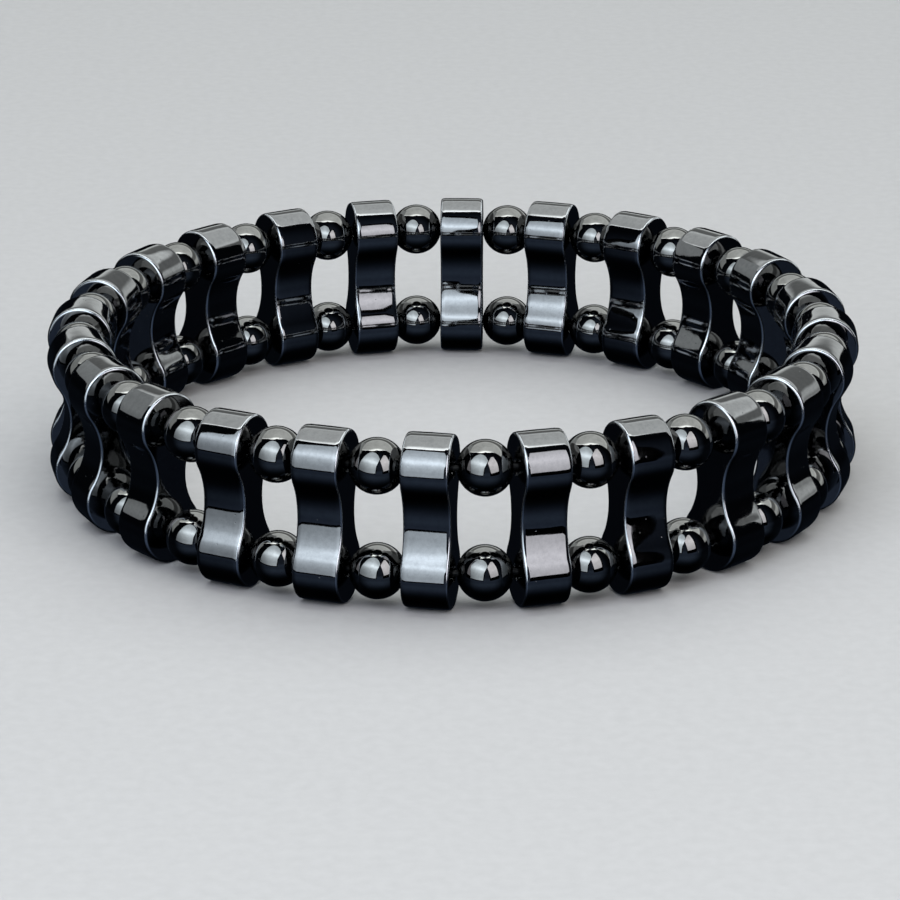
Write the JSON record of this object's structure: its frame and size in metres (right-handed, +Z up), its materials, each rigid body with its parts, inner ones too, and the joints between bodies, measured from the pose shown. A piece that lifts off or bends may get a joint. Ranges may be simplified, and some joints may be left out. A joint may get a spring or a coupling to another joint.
{
  "type": "hematite bracelet",
  "caption": "Closed stretch bracelet of two rows of round hematite beads joined by two-hole bone-shaped spacers, strung on two elastic cords.",
  "frame": {"origin": "middle of the ring at the height of the surface that it lies on", "axes": "+Z up, along the way a hand goes through; -Y towards the front of the picture; +X to its right; the ring is a little longer along Y"},
  "size_m": [0.07, 0.0737, 0.0146],
  "materials": {
    "spacer_hematite": "cut and mirror-polished hematite, near-black with a steel-grey metallic shine",
    "bead_hematite": "tumbled and mirror-polished hematite beads, dark gunmetal grey",
    "elastic": "black stretch cord, satin"
  },
  "bodies": {
    "root": {"upper_cord": "elastic", "lower_cord": "elastic", "upper_beads": "bead_hematite", "lower_beads": "bead_hematite", "spacer_01": "spacer_hematite", "spacer_02": "spacer_hematite", "spacer_03": "spacer_hematite", "spacer_04": "spacer_hematite", "spacer_05": "spacer_hematite", "spacer_06": "spacer_hematite", "spacer_07": "spacer_hematite", "spacer_08": "spacer_hematite", "spacer_09": "spacer_hematite", "spacer_10": "spacer_hematite", "spacer_11": "spacer_hematite", "spacer_12": "spacer_hematite", "spacer_13": "spacer_hematite", "spacer_14": "spacer_hematite", "spacer_15": "spacer_hematite", "spacer_16": "spacer_hematite", "spacer_17": "spacer_hematite", "spacer_18": "spacer_hematite", "spacer_19": "spacer_hematite", "spacer_20": "spacer_hematite", "spacer_21": "spacer_hematite", "spacer_22": "spacer_hematite", "spacer_23": "spacer_hematite", "spacer_24": "spacer_hematite"}
  },
  "joints": []
}
